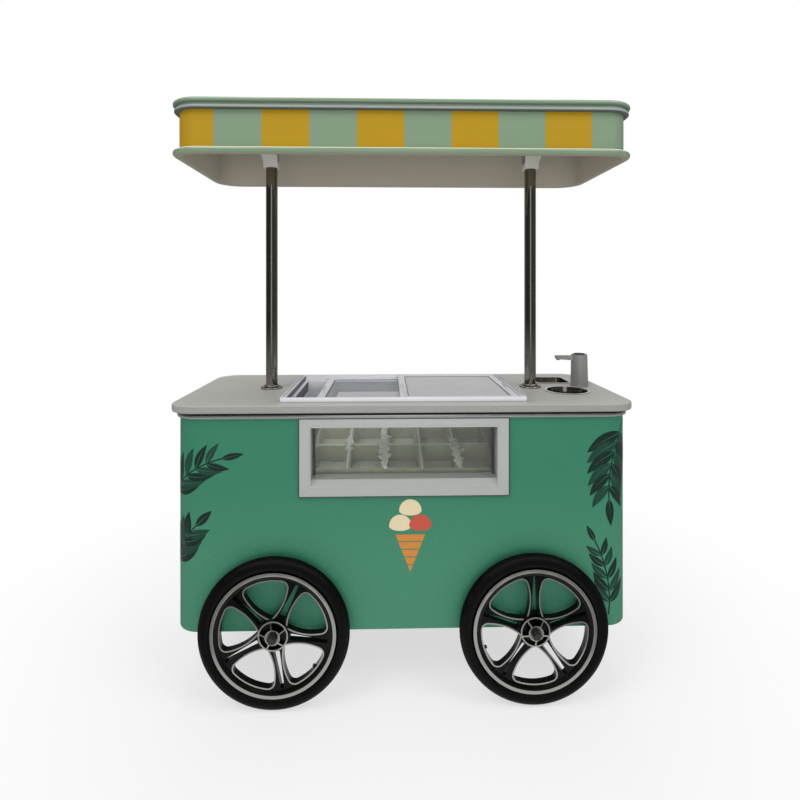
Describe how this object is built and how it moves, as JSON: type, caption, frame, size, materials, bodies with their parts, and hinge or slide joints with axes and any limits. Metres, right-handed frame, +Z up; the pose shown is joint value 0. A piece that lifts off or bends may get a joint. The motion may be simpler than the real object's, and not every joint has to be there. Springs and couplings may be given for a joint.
{
  "type": "ice cream push cart",
  "caption": "Ice cream push cart: a chilled display cabinet with a front window, sliding lids, a wash station and rear doors, on spoked wheels, under a striped canopy on poles.",
  "frame": {"origin": "on the ground under the middle of the cart", "axes": "+Z up, -Y towards the customer side with the window, +X towards the wash station"},
  "size_m": [1.612, 0.784, 2.029],
  "materials": {
    "frame_steel": "satin",
    "floor_steel": "satin",
    "green_sheet": "satin",
    "trim_steel": "brushed",
    "gasket_rubber": "matte",
    "counter_stone": "polished",
    "white_frame": "satin",
    "clear_glass": "polished",
    "casing_foam": "matte",
    "food_steel": "satin",
    "lid_plastic": "gloss",
    "black_steel": "satin",
    "cooler_metal": "matte",
    "dark_plastic": "satin",
    "pipe_plastic": "satin",
    "tank_plastic": "translucent",
    "tap_plastic": "gloss",
    "pole_steel": "polished",
    "head_paint": "satin",
    "beam_wood": "matte",
    "canopy_mint": "satin",
    "canopy_grey": "satin",
    "canopy_stripes": "satin",
    "axle_steel": "machined",
    "rim_alloy": "black with bright edges",
    "tyre_rubber": "matte"
  },
  "bodies": {
    "cart": {"base_frame": "frame_steel", "upper_frame": "frame_steel", "pole_sockets": "frame_steel", "floor_panel": "floor_steel", "skin_front": "green_sheet", "skin_back": "green_sheet", "skin_left": "green_sheet", "skin_right": "green_sheet", "top_trim": "trim_steel", "vent_grille": "trim_steel", "hinge_bases": "trim_steel", "counter_gasket": "gasket_rubber", "countertop": "counter_stone", "window_frame": "white_frame", "window_panes": "clear_glass", "freezer_casing": "casing_foam", "freezer_liner": "food_steel", "pan_rack": "food_steel", "pans": "food_steel", "basin": "food_steel", "utensil_pan": "food_steel", "lid_track": "lid_plastic", "compressor": "black_steel", "condenser": "cooler_metal", "control_panel": "dark_plastic", "basin_drain": "pipe_plastic", "waste_tank": "tank_plastic", "fresh_bottle": "tank_plastic", "tap_base": "tap_plastic", "pole_left": "pole_steel", "pole_right": "pole_steel", "pole_flanges": "pole_steel", "pole_heads": "head_paint", "canopy_beams": "beam_wood", "canopy_board": "canopy_mint", "canopy_lip": "canopy_mint", "canopy_cornice": "canopy_grey", "canopy_fascia": "canopy_stripes", "axles": "axle_steel", "axle_nuts": "axle_steel", "wheel_bearings": "axle_steel"},
    "wheel_fl": {"rim_fl": "rim_alloy", "tyre_fl": "tyre_rubber"},
    "wheel_fr": {"rim_fr": "rim_alloy", "tyre_fr": "tyre_rubber"},
    "wheel_rl": {"rim_rl": "rim_alloy", "tyre_rl": "tyre_rubber"},
    "wheel_rr": {"rim_rr": "rim_alloy", "tyre_rr": "tyre_rubber"},
    "lid_left": {"lid_left": "lid_plastic", "lid_left_glass": "clear_glass"},
    "lid_right": {"lid_right": "lid_plastic", "lid_right_glass": "clear_glass"},
    "door_left": {"door_left": "green_sheet", "door_left_handle": "trim_steel"},
    "door_right": {"door_right": "green_sheet", "door_right_handle": "trim_steel"},
    "tap_head": {"tap_head": "tap_plastic"},
    "tap_button": {"tap_button": "dark_plastic"},
    "fan": {"fan": "dark_plastic"}
  },
  "joints": [
    {"name": "wheel_fl_spin", "type": "hinge", "parent": "cart", "child": "wheel_fl", "pos_m": [-0.432, -0.346, 0.25], "axis": [0, 1, 0], "continuous": true},
    {"name": "wheel_fr_spin", "type": "hinge", "parent": "cart", "child": "wheel_fr", "pos_m": [0.432, -0.346, 0.25], "axis": [0, 1, 0], "continuous": true},
    {"name": "wheel_rl_spin", "type": "hinge", "parent": "cart", "child": "wheel_rl", "pos_m": [-0.432, 0.346, 0.25], "axis": [0, 1, 0], "continuous": true},
    {"name": "wheel_rr_spin", "type": "hinge", "parent": "cart", "child": "wheel_rr", "pos_m": [0.432, 0.346, 0.25], "axis": [0, 1, 0], "continuous": true},
    {"name": "lid_left_slide", "type": "slide", "parent": "cart", "child": "lid_left", "axis": [1, 0, 0], "range_m": [-0.098, 0.295]},
    {"name": "lid_right_slide", "type": "slide", "parent": "cart", "child": "lid_right", "axis": [1, 0, 0], "range_m": [-0.393, 0]},
    {"name": "door_left_hinge", "type": "hinge", "parent": "cart", "child": "door_left", "pos_m": [-0.4893, 0.3135, 0.69], "axis": [0, 0, -1], "range_deg": [0, 110]},
    {"name": "door_right_hinge", "type": "hinge", "parent": "cart", "child": "door_right", "pos_m": [0.4893, 0.3135, 0.69], "axis": [0, 0, 1], "range_deg": [0, 110]},
    {"name": "tap_swivel", "type": "hinge", "parent": "cart", "child": "tap_head", "pos_m": [0.714, 0.016, 1.06], "axis": [0, 0, 1], "range_deg": [-70, 100]},
    {"name": "tap_press", "type": "slide", "parent": "tap_head", "child": "tap_button", "axis": [0, 0, 1], "range_m": [-0.0025, 0], "stiffness_N_per_m": 800, "springref_m": 0.0015},
    {"name": "fan_spin", "type": "hinge", "parent": "cart", "child": "fan", "pos_m": [0.13, 0.23, 0.31], "axis": [0, 1, 0], "continuous": true}
  ]
}
